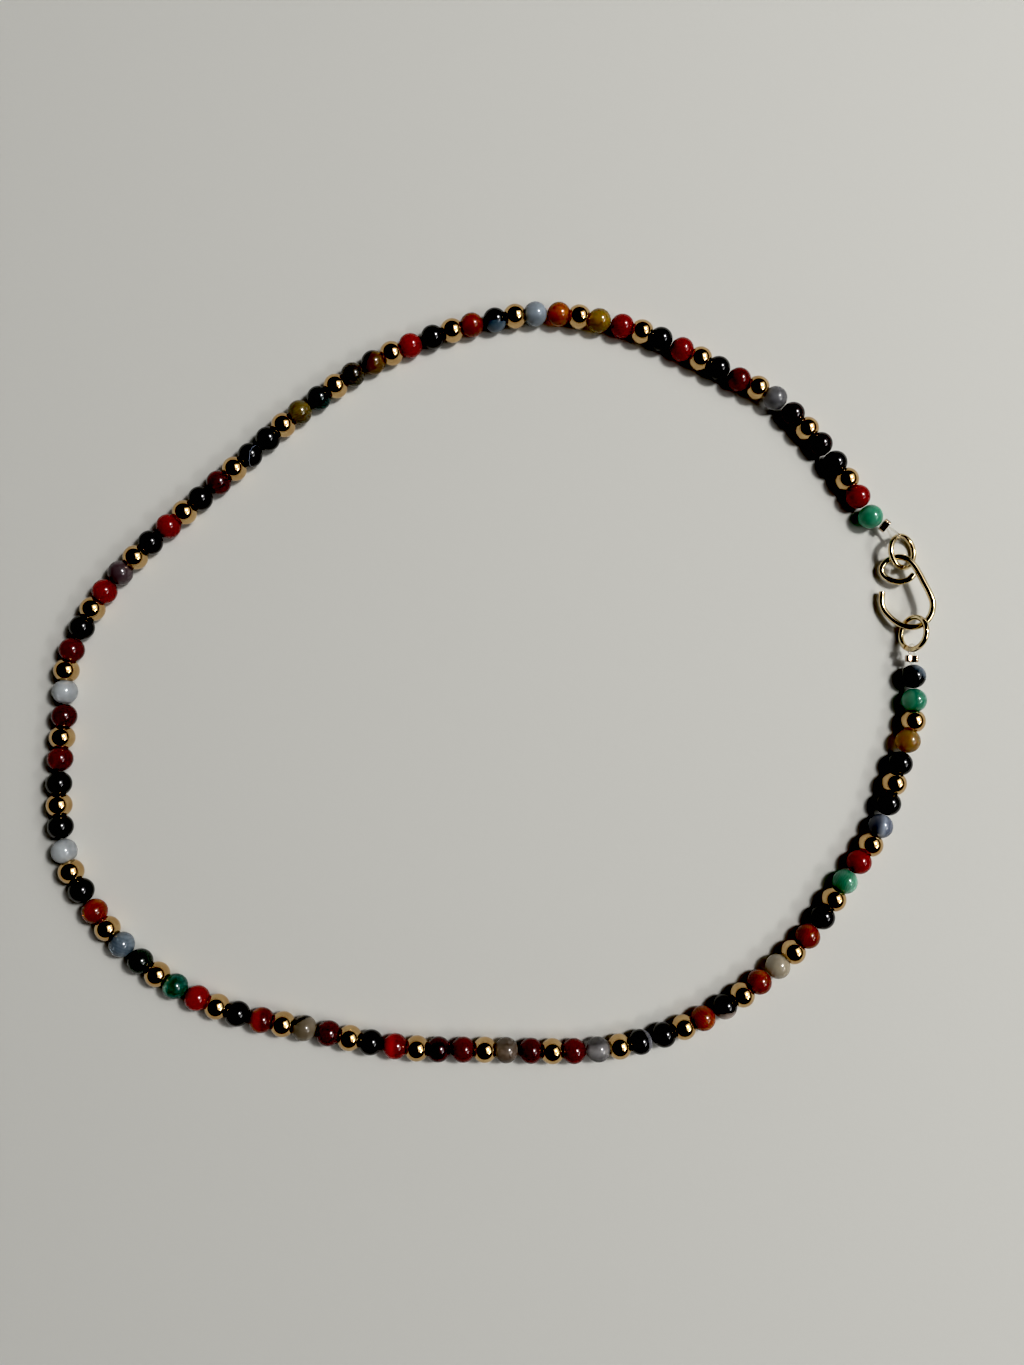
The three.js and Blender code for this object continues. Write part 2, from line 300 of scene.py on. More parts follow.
def turned(outline, sides):
    """A closed outline turned about the X axis: its points and its four-cornered faces."""
    along, away = np.array(outline).T
    angles = 2 * np.pi * np.arange(sides)[:, None] / sides
    points = np.stack([along + 0 * angles, away * np.cos(angles), away * np.sin(angles)], -1)
    return points.reshape(-1, 3), grid_faces(sides, len(outline))


BEAD_SIDES = 48
stone_points, stone_faces = turned(stone_outline(), BEAD_SIDES)
gold_points, gold_faces = turned(gold_outline(), BEAD_SIDES)
print("faces in a stone:", len(stone_faces), "in a gold bead:", len(gold_faces))
print("gold bead length mm:", round(float(np.ptp(gold_points[:, 0])), 2))

# %% [markdown]
# ## Agate
#
# Agate is quartz grown in thin layers, so one bead can be plain while the next shows a band or a cloud. Most
# of these stones are dyed: red and orange ones as carnelian, black ones as onyx, and green ones. The grey
# ones keep their own colour. All are tumbled to a glassy polish, so each shows a small sharp highlight, and
# light that goes in comes out softened and coloured.
#
# A picture of a stone would be simpler, but it would stretch over a sphere and couldn't reach into the bore.
# So the layers are drawn by sums, from three values kept on every point of a bead, all in millimetres:
#
# - place, the point's way from the bead's middle
# - grain, the same way turned and moved at random, so that no two beads share a cloud
# - from_bore, how far to one side of the bore it lies, as seen from above
#
# First come the zones of colour. They follow each other across the stone, and a slow noise pushes their
# borders in and out, as real layers billow.

# %% Zones of colour
BILLOW_MM = 2.2


def zone_colours(tree, grain, zones, across, warp_mm):
    """Colours that follow each other across a stone, and the warped depth that they're read at."""
    place = add_node(tree, "ShaderNodeAttribute", attribute_name="place")
    depth = add_node(tree, "ShaderNodeVectorMath", {0: place.outputs["Vector"]},
                     {1: Vector(across).normalized()}, operation="DOT_PRODUCT")
    billow = add_node(tree, "ShaderNodeTexNoise", {"Vector": grain},
                      {"Scale": 1 / BILLOW_MM, "Detail": 3.0, "Roughness": 0.55})
    warped = add_node(tree, "ShaderNodeMath", {0: billow.outputs["Fac"], 2: depth.outputs["Value"]},
                      {1: 2 * warp_mm}, operation="MULTIPLY_ADD")
    layer = add_node(tree, "ShaderNodeMapRange", {"Value": warped.outputs["Value"]},
                     {"From Min": warp_mm - BEAD_RADIUS, "From Max": warp_mm + BEAD_RADIUS})
    ramp = add_node(tree, "ShaderNodeValToRGB", {"Fac": layer.outputs["Result"]})
    stops = ramp.color_ramp.elements
    while len(stops) < len(zones):
        stops.new(0.5)
    for stop, (at, colour) in zip(stops, sorted(zones)):
        stop.position = (at + BEAD_RADIUS) / (2 * BEAD_RADIUS)
        stop.color = linear(colour)
    return ramp.outputs["Color"], warped.outputs["Value"]


print("zone borders billow about every mm:", BILLOW_MM)

# %% [markdown]
# Over the zones lie three finer things. A sine of the same depth gives the thin growth layers of banded
# agate, so they follow the zones' borders. A mottle gives the soft clouds. Last, the drilled hole is rougher
# than the skin, so a clear stone shows it lit from inside. That is drawn as painted light: a pale stripe
# painted on the skin along the bore, fading to both sides, with painted shade making the stone beyond it
# slightly darker.

# %% Layers, clouds and the bore
MOTTLE_MM = 0.8
STRIPE_FROM_MM, STRIPE_TO_MM = 0.2, 1.6
PAINTED_SHADE_BEYOND_STRIPE = 0.5


def stone_shade(tree, grain, warped, band_mm, bands, cloud, core):
    """How light a stone is at each point, and the mottle that its polish follows."""
    turns = add_node(tree, "ShaderNodeMath", {0: warped}, {1: 2 * math.pi / band_mm}, operation="MULTIPLY")
    wave = add_node(tree, "ShaderNodeMath", {0: turns.outputs["Value"]}, operation="SINE")
    layered = add_node(tree, "ShaderNodeMapRange", {"Value": wave.outputs["Value"]},
                       {"From Min": -1.0, "From Max": 1.0, "To Min": 1 - bands, "To Max": 1 + bands})
    mottle = add_node(tree, "ShaderNodeTexNoise", {"Vector": grain},
                      {"Scale": 1 / MOTTLE_MM, "Detail": 3.0, "Roughness": 0.5})
    clouded = add_node(tree, "ShaderNodeMapRange", {"Value": mottle.outputs["Fac"]},
                       {"From Min": 0.3, "From Max": 0.7, "To Min": 1 - cloud, "To Max": 1 + cloud})
    # The pale stripe along the bore is painted light, and the darker stone beyond it is painted shade.
    from_bore = add_node(tree, "ShaderNodeAttribute", attribute_name="from_bore")
    cored = add_node(tree, "ShaderNodeMapRange", {"Value": from_bore.outputs["Fac"]},
                     {"From Min": STRIPE_FROM_MM, "From Max": STRIPE_TO_MM,
                      "To Min": 1 + core, "To Max": 1 - PAINTED_SHADE_BEYOND_STRIPE * core},
                     interpolation_type="SMOOTHSTEP")
    shade = add_node(tree, "ShaderNodeMath",
                     {0: layered.outputs["Result"], 1: clouded.outputs["Result"]}, operation="MULTIPLY")
    shade = add_node(tree, "ShaderNodeMath",
                     {0: shade.outputs["Value"], 1: cored.outputs["Result"]}, operation="MULTIPLY")
    return shade.outputs["Value"], mottle.outputs["Fac"]


print("clouds are about mm:", MOTTLE_MM, "and the pale stripe fades out by mm:", STRIPE_TO_MM)

# %% [markdown]
# The finish itself puts the drawing on a body that light can enter. Quartz bends light by 1.54. Part of the
# light passes straight through a stone (transmission) and part scatters inside it (subsurface), in a share
# that each finish sets. Tumbling leaves a roughness of about 0.15, with pits some hundredths of a millimetre
# wide. Those are too fine to show, so they're drawn a sixth of a millimetre wide. To the eye the stone has a
# small bright highlight with a soft edge, over a colour that seems to come from inside. A glossy paint would
# be simpler, with the same highlight, but the colour under it would lie flat on the skin.

# %% The agate finish
QUARTZ_IOR = 1.54
SMOOTHEST, DULLEST = 0.13, 0.17
PIT_MM = 0.16


def agate(name, zones, glow_mm, clear, across=(1, 0, 0), warp_mm=0.9, band_mm=0.35, bands=0.0, cloud=0.06,
          core=0.0):
    """Polished agate.

    zones: (place across the bead in mm, colour). across: the way that the zones follow each other.
    glow_mm: how far red, green and blue light travel inside. clear: the share that passes straight through.
    warp_mm: how far the borders billow. bands, cloud, core: how strongly each of them shows.
    core is painted light: a pale stripe along the bore, with painted shade beside it.
    """
    material, tree, surface = new_material(name)
    grain = add_node(tree, "ShaderNodeAttribute", attribute_name="grain").outputs["Vector"]
    colours, warped = zone_colours(tree, grain, zones, across, warp_mm)
    shade, mottle = stone_shade(tree, grain, warped, band_mm, bands, cloud, core)
    body = add_node(tree, "ShaderNodeVectorMath", {0: colours, "Scale": shade}, operation="SCALE")
    polish = add_node(tree, "ShaderNodeMapRange", {"Value": mottle},
                      {"To Min": SMOOTHEST, "To Max": DULLEST})
    pits = add_node(tree, "ShaderNodeTexNoise", {"Vector": grain}, {"Scale": 1 / PIT_MM, "Detail": 2.0})
    skin = add_node(tree, "ShaderNodeBump", {"Height": pits.outputs["Fac"]},
                    {"Strength": 0.05, "Distance": 0.02 * MM})
    shader = add_node(tree, "ShaderNodeBsdfPrincipled",
                      {"Base Color": body.outputs["Vector"], "Roughness": polish.outputs["Result"],
                       "Normal": skin.outputs["Normal"]},
                      {"IOR": QUARTZ_IOR, "Transmission Weight": clear, "Subsurface Weight": 1.0,
                       "Subsurface Radius": glow_mm, "Subsurface Scale": MM, "Subsurface Anisotropy": 0.3})
    tree.links.new(shader.outputs["BSDF"], surface)
    return material


print("agate bends light by", QUARTZ_IOR)

# %% [markdown]
# ## The finishes of the stones
# Unless a stone sets its own way across, its zones run across the table from left to right, with the lamps on
# the right. Most stones are charted lighter on the left and darker on the right: painted light, a painted glow
# where light comes back out of the stone and painted shade on its lit side.
#
# A mixed strand of agate is sorted by eye, and these finishes follow such a sort: one for each kind of stone
# that a maker would pick out, named for its look. Most differ only in colour and in how clear they are. A few
# have a drawing of their own, such as a milky vein, a dark eye or a patch of moss. Zones run across the bead
# in millimetres, from -2 on one side to 2 on the other.
#
# Each family starts from one way of letting light in. The dyed stones pass mostly their own colour, so red
# light travels a few millimetres inside a red stone while green and blue light stop near its skin. Black
# onyx lets almost nothing through. A stone with a sharp drawing gets a short glow, because light that
# travels far would blur the drawing's edges. Colours are paler here than they look on the bead, because the
# depth of the stone darkens and strengthens them.
#
# Nearly forty materials could be made by hand in the shader editor, but here they're one chart, so that a
# tone is found and changed in one place. An entry gives a stone's name, a place and a colour for each zone,
# its family and whatever is its own.

# %% A charted stone
STONES = {}


def stone(name, zones, family, **own):
    """Makes one kind of stone. Its own settings take the place of its family's."""
    stops = [stop.split() for stop in zones.split(",")]
    placed = [(float(at), colour) for at, colour in stops]
    STONES[name] = agate("tumbled_agate_" + name.replace(" ", "_"), placed, **(family | own))


print("stone finishes so far:", len(STONES))

# %% [markdown]
# Carnelian is agate that was dyed and heated to an even warm red, which the light seems to fill. Its zones
# are close tones of one red, because a single flat colour would look like a glass bead. Most are lighter on the
# left and darker on the right, toward the lamps: painted light, a painted glow where light comes back out of
# the stone and painted shade on its lit side.

# %% Carnelian
RED = {"glow_mm": (2.5, 0.4, 0.3), "clear": 0.3, "cloud": 0.0}
stone("carnelian red", "-2 #a8160e, 0.5 #96120c, 2 #7a0e0a", RED)
stone("carnelian bright", "-2 #b81e0e, 0.3 #a2160c, 2 #7e0e08", RED)
stone("carnelian deep", "-2 #861110, 0.5 #720c0c, 2 #5a0a08", RED)
stone("carnelian dark", "-2 #760c12, 0.5 #62080e, 2 #48060a", RED)
stone("garnet red", "-2 #54121a, 2 #420f16", RED)
stone("half bright", "-0.6 #d01c0c, 0.2 #8c0e0c, 2 #6c0a0a", RED, glow_mm=(1.2, 0.2, 0.2), warp_mm=0.5)
print("stone finishes so far:", len(STONES))

# %% [markdown]
# In flame agate the same dye took unevenly, so orange streaks cross the red along the stone's layers. Rust
# is an even brown-red, and ember is a clearer stone that the dye left orange. The streaks are zones laid
# slantwise across the bead, with faint bands over them.

# %% Flame agate
AMBER = {"glow_mm": (3.5, 2.2, 0.9), "clear": 0.6}
stone("flame", "-2 #803614, -0.3 #a6601c, 0.4 #904416, 2 #7e3212", RED,
      glow_mm=(2.0, 0.4, 0.3), across=(1, -0.6, 0.3), bands=0.12)
stone("flame banded", "-2 #803c14, 0 #a85c20, 2 #904a1c", RED,
      glow_mm=(1.2, 0.3, 0.2), across=(0.7, 0.7, 0.2), bands=0.15, band_mm=0.42)
stone("two reds", "-1.2 #b8601a, -0.2 #a84410, 0.4 #72160c, 2 #601008", RED,
      glow_mm=(1.2, 0.3, 0.2), warp_mm=0.5)
# Rust is charted lighter on the left and darker on the right: a painted glow and painted shade.
stone("rust", "-2 #a05818, 0 #904414, 2 #72300e", RED, core=0.2)
stone("ember", "-2 #a8661c, 0 #c47c20, 2 #985c1a", AMBER, core=0.35)
print("stone finishes so far:", len(STONES))

# %% [markdown]
# Onyx is agate blackened all through, so on most of these stones only the gloss shows. Some have a patch or a
# vein that the dye left pale, and some are dark brown or green where they're thin. A sharp border is two
# zones set close together, and a vein is a pale zone between two dark ones.

# %% Onyx
DARK = {"glow_mm": (0.5, 0.5, 0.6), "clear": 0.1}
stone("onyx", "-2 #070609, 2 #050406", DARK, clear=0.0)
stone("onyx brown", "-2 #2c1214, 2 #1c0c0e", DARK)
stone("onyx green", "-2 #222e26, 0.4 #26342c, 2 #1c261f", DARK, bands=0.3)
stone("onyx teal", "-2 #1c3c3a, -0.3 #162e2e, 0.6 #0a1012, 2 #080c0e", DARK,
      across=(0, 1, 0.1), bands=0.4, band_mm=0.5)
stone("onyx ice vein", "0.84 #06070b, 0.94 #a0a6b0, 1.04 #06070b", DARK,
      across=(0.9, -0.35, 0.25), warp_mm=0.5)
stone("onyx slate half", "-2 #6c7984, -0.45 #5a6872, -0.2 #07080b, 2 #050507", DARK,
      across=(0, 1, 0.25), warp_mm=0.35)
stone("onyx crescent", "0.25 #060608, 0.6 #707074, 1.2 #8c8c90, 1.5 #3c3c40, 2 #1c1c20", DARK,
      across=(0.8, 0.1, -0.35), warp_mm=0.3, cloud=0.3)
stone("onyx misted", "-2 #c4b8ae, -0.85 #8c827a, -0.5 #08080a, 2 #050506", DARK,
      across=(-0.1, 1, 0), warp_mm=0.4)
stone("onyx blue cap", "0.7 #060708, 1.3 #626c74, 2 #767f88", DARK, across=(0.8, 0.9, 0.5), warp_mm=0.5)
stone("dark wood", "-2 #6a6450, 0 #585242, 2 #6a5c46", AMBER,
      glow_mm=(1.2, 0.9, 0.5), across=(0.5, 1, 0), bands=0.3, band_mm=0.5)
print("stone finishes so far:", len(STONES))

# %% [markdown]
# Green agate is milky and slightly blue, and paler where its layers are dense. In moss agate the green is a
# dark growth in a pale stone, drawn by a strong cloud and a short glow that keeps its edges.

# %% Green agate
GREEN = {"glow_mm": (1.6, 3.0, 2.4), "clear": 0.4}
stone("jade", "-2 #84c4ac, -0.8 #70b298, 1.0 #66a68e, 2 #80baa2", GREEN)
stone("jade pale", "-2 #72aa92, 0 #689e86, 0.9 #88b8a2, 2 #aed2c0", GREEN,
      across=(1, -0.5, 0.2), bands=0.12)
stone("jade deep", "-2 #94c4ae, -0.9 #80b69e, -0.5 #589680, 0.2 #629c86, 2 #6aa48e", GREEN, warp_mm=0.3)
stone("moss", "-2 #a4d0bc, -1.2 #84b4a0, -0.7 #3a7a6c, 0.4 #2c665a, 2 #367064", GREEN,
      glow_mm=(0.6, 1.0, 0.8), cloud=0.4)
print("stone finishes so far:", len(STONES))

# %% [markdown]
# Chalcedony is undyed and cloudy, so it looks lit from inside, with the bore as a pale bar of painted light
# on its skin. All colours of light travel about as far in it, which keeps it grey.

# %% Chalcedony
GREY = {"glow_mm": (3.0, 3.0, 3.2), "clear": 0.4}
# Smoke, chalcedony blue, plum, milk and cream are charted lighter on the left and darker on the right: a
# painted glow away from the lamps and painted shade toward them.
stone("smoke", "-2 #b0b0b2, 2 #949496", GREY, clear=0.7)
stone("chalcedony blue", "-2 #a8b0b6, 2 #9ca6ae", GREY, core=0.2)
stone("chalcedony wispy", "-2 #86919a, 0 #78838c, 2 #8a959d", GREY,
      across=(0.6, 1, 0), bands=0.08, band_mm=0.5)
# Chalcedony sheen's pale band across its middle is a painted sheen.
stone("chalcedony sheen", "-2 #6c6e76, -0.6 #7c8089, 0.1 #c0c8d2, 0.6 #8c94a2, 2 #787e8a", GREY,
      glow_mm=(1.0, 1.0, 1.1), across=(1, -0.25, 0.1), warp_mm=0.4)
stone("plum", "-2 #6a6062, 2 #5c5254", GREY, clear=0.15, cloud=0.0)
stone("milk", "-2 #c4c8ca, 2 #b8bcbe", GREY, core=0.2)
stone("cream", "-2 #cac2b2, 2 #b4aa98", GREY)
print("stone finishes so far:", len(STONES))

# %% [markdown]
# The amber and smoky stones are clear enough to see into, and darker where they're thick. Most of the light
# passes straight through them, so much of what they show is the table, the line and the bore, which the pale
# stripe painted on their skin brightens as painted light.

# %% Amber and smoky agate
# Olive, honey, clear smoke and clear silver are charted lighter on the left and darker on the right: a painted
# glow away from the lamps and painted shade toward them.
stone("olive", "-2 #b69c54, 2 #a08846", AMBER, core=0.35)
stone("olive brown", "-2 #887a54, 0 #988a5e, 2 #7a6c4c", AMBER,
      glow_mm=(1.5, 1.0, 0.5), across=(0.5, -1, 0), bands=0.1, core=0.2)
stone("amber eye", "-2 #100a06, -0.75 #181008, -0.55 #84622a, 0.5 #987432, 2 #84662c", AMBER,
      glow_mm=(0.8, 0.6, 0.3), across=(1, -0.5, 0), warp_mm=0.5)
stone("honey", "-2 #d4a458, -0.8 #b89a66, 2 #a89068", AMBER)
stone("clear smoke", "-2 #a2968a, 2 #92857a", GREY, clear=0.65, core=0.25)
stone("clear silver", "-2 #b0aeae, 2 #9e9c9c", GREY, clear=0.7, core=0.7)
stone("ink blot", "1.05 #968c7c, 1.25 #241e1a, 1.65 #161210, 1.8 #8e8474", GREY,
      glow_mm=(1.0, 1.0, 1.0), across=(-0.55, 1, -0.2), warp_mm=0.6)
print("stone finishes:", len(STONES))

# %% [markdown]
# The beads are strung in pairs between the gold ones, and this is their order, starting beside the upper
# crimp. Past the pairs it follows no pattern: a maker picks each stone as it comes.

# %% The order of the stones
STRING_ORDER = """
jade, carnelian red | onyx, onyx brown | onyx brown, smoke | carnelian deep, onyx
carnelian red, onyx | carnelian red, olive | ember, chalcedony blue | onyx slate half, rust
onyx, carnelian bright | amber eye, dark wood | onyx teal, olive brown | onyx, onyx ice vein
carnelian dark, onyx | carnelian red, onyx | plum, carnelian red | onyx, carnelian deep
milk, carnelian dark | carnelian deep, onyx | onyx, milk | onyx, flame
chalcedony wispy, onyx green | moss, carnelian bright | onyx, two reds | ink blot, carnelian dark
onyx, half bright | garnet red, carnelian deep | clear smoke, carnelian dark | carnelian deep, clear silver
onyx crescent, onyx | flame banded, onyx misted | flame, cream | flame, onyx
jade pale, carnelian red | chalcedony sheen, onyx | onyx, honey | jade deep, onyx blue cap
"""
pairs = [pair.split(",") for line in STRING_ORDER.strip().splitlines() for pair in line.split("|")]
stone_looks = {}
for group, pair in enumerate(pairs):
    for step, name in enumerate(pair, 1):
        stone_looks[GROUP * group + step] = name.strip()
print("stones charted:", len(stone_looks), "gold beads:", BEAD_COUNT - len(stone_looks))

# %% [markdown]
# ## Gold-filled brass
#
# The gold beads are rolled from brass tube with a bonded layer of 14 carat gold, then tumbled bright. The
# colour comes from the metal itself: a warm yellow that turns paler where it's seen at a slant. Tumbling
# leaves a soft haze of very fine scratches, so a lamp's image in it has a bright middle and a blurred edge.
# The hook, rings and crimps are the same metal, drawn as wire or cut from tube.
#
# Gold's own refraction isn't one number, so the metal keeps the shader's default and takes only a colour. A
# slow noise moves that colour between two near tones, and a fine one gives the haze and the shallow dents.
# Real scratches are a hundredth of a millimetre wide, too fine to show, so these marks are 0.15 to 0.25 mm
# wide. The line and the table have marks of their own, so one function makes them for all three.

# %% Fine marks
MARK_DEPTH_MM = 0.02


def fine_marks(tree, where, width, roughness, strength, depth_mm=MARK_DEPTH_MM, detail=2.0, crumble=0.5):
    """Marks of a width in the units of where: a roughness that varies between two values, and dents.

    detail and crumble: how many finer sizes of mark lie over the first one, and how strong each of them is.
    """
    marks = add_node(tree, "ShaderNodeTexNoise", {"Vector": where},
                     {"Scale": 1 / width, "Detail": detail, "Roughness": crumble})
    haze = add_node(tree, "ShaderNodeMapRange", {"Value": marks.outputs["Fac"]},
                    {"To Min": roughness[0], "To Max": roughness[1]})
    dents = add_node(tree, "ShaderNodeBump", {"Height": marks.outputs["Fac"]},
                     {"Strength": strength, "Distance": depth_mm * MM})
    return {"Roughness": haze.outputs["Result"], "Normal": dents.outputs["Normal"]}


print("fine marks are dented by up to mm:", MARK_DEPTH_MM)

# %% The metal finish
TONE_MM = 1.7
TONE_STOPS = (0.35, 0.7)
HAZE_SPREAD = 0.3


def gold_filled(name, tones, roughness, scratch_mm):
    """Bright gold-filled metal with a faint haze and shallow marks of the given width."""
    material, tree, surface = new_material(name)
    grain = add_node(tree, "ShaderNodeAttribute", attribute_name="grain").outputs["Vector"]
    tone = add_node(tree, "ShaderNodeTexNoise", {"Vector": grain}, {"Scale": 1 / TONE_MM, "Detail": 2.0})
    warm = add_node(tree, "ShaderNodeValToRGB", {"Fac": tone.outputs["Fac"]})
    for stop, at, colour in zip(warm.color_ramp.elements, TONE_STOPS, tones):
        stop.position, stop.color = at, linear(colour)
    haze = (roughness * (1 - HAZE_SPREAD), roughness * (1 + HAZE_SPREAD))
    marks = fine_marks(tree, grain, scratch_mm, haze, strength=0.12, detail=3.0, crumble=0.6)
    shader = add_node(tree, "ShaderNodeBsdfPrincipled", {"Base Color": warm.outputs["Color"]} | marks,
                      {"Metallic": 1.0})
    tree.links.new(shader.outputs["BSDF"], surface)
    return material


# Rolled and tumbled: the bead mirrors the pale table as warm tan and the dark ceiling as a black disc.
bead_gold = gold_filled("gold_filled_tumbled_bead", ("#c8a87e", "#d9be94"), roughness=0.12, scratch_mm=0.25)
# Drawn through a die: the smoothest of the three, so it shows a thin dark line between two pale edges.
wire_gold = gold_filled("gold_filled_drawn_wire", ("#d8c29c", "#ece0c0"), roughness=0.08, scratch_mm=0.2)
# Pressed in pliers: duller and pinker, because the jaws scuff the gold layer.
crimp_gold = gold_filled("gold_filled_pressed_tube", ("#b09a82", "#c8b6a4"), roughness=0.16, scratch_mm=0.15)
print("metal finishes:", bead_gold.name, wire_gold.name, crimp_gold.name)

# %% [markdown]
# ## Clear line
#
# The beads are strung on one clear strand of drawn nylon, 0.34 mm thick. It could be left out inside the
# beads, but it shows through the clear stones as a faint bright thread, so it runs the whole way.
#
# Nylon bends light by about 1.53. A slightly lower value is used, because such a thin line almost vanishes
# against a pale table. Drawing leaves it very slightly cloudy, which to the eye is a pale glassy hair. The
# marks that cloud it are too fine to show, so they're drawn 0.2 mm wide.

# %% The line's finish
LINE_IOR, LINE_MARK_MM = 1.46, 0.2
clear_line, tree, surface = new_material("drawn_nylon_line")
grain = add_node(tree, "ShaderNodeAttribute", attribute_name="grain").outputs["Vector"]
marks = fine_marks(tree, grain, LINE_MARK_MM, roughness=(0.03, 0.08), strength=0.1)
shader = add_node(tree, "ShaderNodeBsdfPrincipled", marks,
                  {"Base Color": linear("#faf8f3"), "IOR": LINE_IOR, "Transmission Weight": 1.0})
tree.links.new(shader.outputs["BSDF"], surface)
print("line finish:", clear_line.name)

# %% [markdown]
# ## Stringing the beads
#
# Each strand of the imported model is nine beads, or eight in the last. Its stones become one piece and its
# gold beads another, so that each piece has one kind of material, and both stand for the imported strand, which
# is hidden. Every bead is copied to its place on the line and turned to face along it.

# %% Turns
def unit(vector):
    return vector / np.linalg.norm(vector)


def flat_turn(degrees):
    """The matrix that turns pairs in a plane, when the pairs are multiplied by it."""
    c, s = math.cos(math.radians(degrees)), math.sin(math.radians(degrees))
    return np.array([[c, s], [-s, c]])


def turned_about_z(points, degrees):
    """Points turned about the upright axis through the origin."""
    points = np.array(points, float)
    points[..., :2] = points[..., :2] @ flat_turn(degrees)
    return points


print("a quarter turn takes X to", turned_about_z((1, 0, 0), 90).round(3))

# %% Grain and edges
GRAIN_SEED, GRAIN_SPREAD_MM = 107, 40
draws = np.random.default_rng(GRAIN_SEED)


def random_turn():
    """A rotation matrix with no preferred direction."""
    a, b, c, d = unit(draws.normal(size=4))
    return np.array([
        [1 - 2 * (c * c + d * d), 2 * (b * c - a * d), 2 * (b * d + a * c)],
        [2 * (b * c + a * d), 1 - 2 * (b * b + d * d), 2 * (c * d - a * b)],
        [2 * (b * d - a * c), 2 * (c * d + a * b), 1 - 2 * (b * b + c * c)],
    ])  # fmt: skip


def keep_vectors(piece, name, values):
    """Keeps a value in millimetres for each point of a piece, for its finish to read."""
    stored = piece.data.attributes.new(name, "FLOAT_VECTOR", "POINT")
    stored.data.foreach_set("vector", np.asarray(values, np.float32).ravel())


def sharpen(piece, degrees):
    """Keeps edges that turn more than so many degrees crisp, while the rest shades smoothly."""
    piece.data.set_sharp_from_angle(angle=math.radians(degrees))


print("grains are drawn from seed", GRAIN_SEED)

# %% One strand
BEAD_CREASE_DEGREES = 35


def strung(name, numbers, points, faces, finishes):
    """One piece from copies of a bead at the numbered places, each with its own finish."""
    used = list(dict.fromkeys(finishes))
    all_points, all_faces, all_places, all_grains, all_sides, face_finish = [], [], [], [], [], []
    for number, finish in zip(numbers, finishes):
        place = turned_about_z(points, bead_heading[number - 1])
        all_faces.append(faces + sum(map(len, all_points)))
        all_points.append(place + (*bead_xy[number - 1], BEAD_RADIUS))
        all_places.append(place)
        all_grains.append(place @ random_turn().T + draws.uniform(-GRAIN_SPREAD_MM, GRAIN_SPREAD_MM, 3))
        all_sides.append(np.abs(points[:, 1]))
        face_finish += [used.index(finish)] * len(faces)
    piece = new_piece(name, np.vstack(all_points), np.vstack(all_faces), used, face_finish)
    keep_vectors(piece, "place", np.vstack(all_places))
    keep_vectors(piece, "grain", np.vstack(all_grains))
    from_bore = piece.data.attributes.new("from_bore", "FLOAT", "POINT")
    from_bore.data.foreach_set("value", np.concatenate(all_sides).astype(np.float32))
    sharpen(piece, BEAD_CREASE_DEGREES)
    return piece


print("a strand holds beads:", BEADS_PER_STRAND)

# %% All the strands
for strand, first in enumerate(range(1, BEAD_COUNT + 1, BEADS_PER_STRAND), 1):
    numbers = range(first, min(first + BEADS_PER_STRAND, BEAD_COUNT + 1))
    stones = [n for n in numbers if not is_gold(n)]
    golds = [n for n in numbers if is_gold(n)]
    looks = [STONES[stone_looks[n]] for n in stones]
    stone_piece = strung(f"agate_beads_{strand:02d}", stones, stone_points, stone_faces, looks)
    gold_piece = strung(f"gold_beads_{strand:02d}", golds, gold_points, gold_faces, [bead_gold] * len(golds))
    for piece, slot in ((stone_piece, "agate_beads"), (gold_piece, "gold_beads")):
        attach(piece, "root")
        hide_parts(f"strand_{strand:02d}")
    packed_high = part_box(f"strand_{strand:02d}")[1]
    corners = np.array([corner for piece in (stone_piece, gold_piece) for corner in piece.bound_box])
    past = (corners.max(axis=0) - np.array(packed_high)) / MM
    print(f"strand {strand:2d}: {len(stones)} stones, {len(golds)} gold, past the frame by mm", past.round(2))

# %% [markdown]
# ## Wire and line
#
# The hook, the rings and the line are all round wires along smooth paths, so one function makes them. A
# circle is carried along the path, and each one is turned only as far as the path turns, so that the skin
# doesn't twist. A cut end is flat with a filed edge. A curve object with a round bevel would give the same
# tube, but it would leave the cut edge sharp.

# %% A round wire along a path
WIRE_SIDES = 24
QUARTER_TURN = np.radians([0, 30, 60, 90])
NEARLY_UPRIGHT = 0.9


def swept(path, radius, steps, filed, sides=WIRE_SIDES):
    """Points and faces of a wire along a path in millimetres. filed is the rounding of its cut edges."""
    path = np.asarray(path, float)
    run_mm = run_along(path)
    start = filed * (1 - np.cos(QUARTER_TURN))
    start_size = radius - filed * (1 - np.sin(QUARTER_TURN))
    middle = np.linspace(filed, run_mm[-1] - filed, steps)[1:-1]
    at = np.concatenate([start, middle, run_mm[-1] - start[::-1]])
    size = np.concatenate([start_size, np.full(len(middle), radius), start_size[::-1]])
    centre = np.stack([np.interp(at, run_mm, column) for column in path.T], -1)
    slope = np.gradient(path, run_mm, axis=0)
    heading = np.stack([np.interp(at, run_mm, column) for column in slope.T], -1)
    heading /= np.linalg.norm(heading, axis=1)[:, None]
    side = np.cross(heading[0], (0, 0, 1) if abs(heading[0][2]) < NEARLY_UPRIGHT else (1, 0, 0))
    angles = 2 * np.pi * np.arange(sides) / sides
    rings = []
    for place, ahead, reach in zip(centre, heading, size):
        side = unit(side - ahead * (side @ ahead))
        up = np.cross(ahead, side)
        rings.append(place + reach * (np.cos(angles)[:, None] * side + np.sin(angles)[:, None] * up))
    faces = [tuple(f) for f in grid_faces(len(at), sides, closed=False)]
    last = (len(at) - 1) * sides
    return np.vstack(rings), faces + [tuple(range(sides)), tuple(range(last, last + sides))]


print("each flat of a 1 mm wire is mm:", round(math.pi / WIRE_SIDES, 2))

# %% A finished piece
CUT_CREASE_DEGREES = 50


